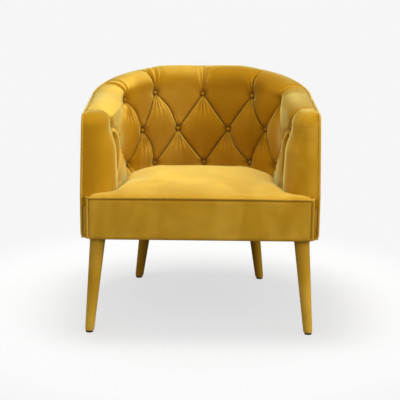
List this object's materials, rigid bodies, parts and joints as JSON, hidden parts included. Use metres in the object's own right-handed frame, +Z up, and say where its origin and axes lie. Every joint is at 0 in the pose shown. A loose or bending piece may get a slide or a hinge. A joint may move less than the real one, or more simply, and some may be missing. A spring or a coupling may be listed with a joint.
{
  "type": "occasional chair",
  "caption": "Upholstered tub armchair with a deep-buttoned curved back, a tight crowned seat, a piped rim and four splayed tapered legs.",
  "frame": {"origin": "on the floor under the middle of the chair's width and depth", "axes": "+Z up, the seat faces -Y, +X to the right of someone who looks at the chair from the front"},
  "size_m": [0.7, 0.655, 0.736],
  "materials": {
    "outer_velvet": "pile",
    "inner_velvet": "pile",
    "seat_velvet": "pile",
    "button_velvet": "pile",
    "velvet_piping": "pile",
    "leg_velvet": "pile",
    "fibreboard": "matt",
    "foam": "pile",
    "lining": "pile",
    "webbing": "pile",
    "timber": "matt",
    "cambric": "pile",
    "steel": "satin",
    "glide_plastic": "matt"
  },
  "bodies": {
    "root": {"outer_cover": "outer_velvet", "outer_board": "fibreboard", "outer_piping": "velvet_piping", "left_side_strip": "outer_velvet", "right_side_strip": "outer_velvet", "back_pad": "inner_velvet", "left_arm_pad": "inner_velvet", "right_arm_pad": "inner_velvet", "left_arm_front": "inner_velvet", "right_arm_front": "inner_velvet", "back_buttons": "button_velvet", "left_arm_buttons": "button_velvet", "right_arm_buttons": "button_velvet", "back_foam": "foam", "left_arm_foam": "foam", "right_arm_foam": "foam", "seat_cover": "seat_velvet", "front_border": "outer_velvet", "seat_piping": "velvet_piping", "border_pipings": "velvet_piping", "seat_foam": "foam", "seat_lining": "lining", "webbing_lengthwise": "webbing", "webbing_crosswise": "webbing", "front_rail": "timber", "left_rail": "timber", "right_rail": "timber", "back_rail": "timber", "front_plank": "timber", "rear_plank": "timber", "left_arm_stump": "timber", "right_arm_stump": "timber", "left_rear_post": "timber", "right_rear_post": "timber", "back_slats": "timber", "left_arm_rail": "timber", "right_arm_rail": "timber", "back_top_rail": "timber", "tack_rail": "timber", "dust_cover": "cambric", "leg_bolts": "steel", "leg_nuts": "steel", "front_left_leg": "timber", "front_left_sleeve": "leg_velvet", "front_left_glide": "glide_plastic", "front_right_leg": "timber", "front_right_sleeve": "leg_velvet", "front_right_glide": "glide_plastic", "rear_left_leg": "timber", "rear_left_sleeve": "leg_velvet", "rear_left_glide": "glide_plastic", "rear_right_leg": "timber", "rear_right_sleeve": "leg_velvet", "rear_right_glide": "glide_plastic"}
  },
  "joints": []
}
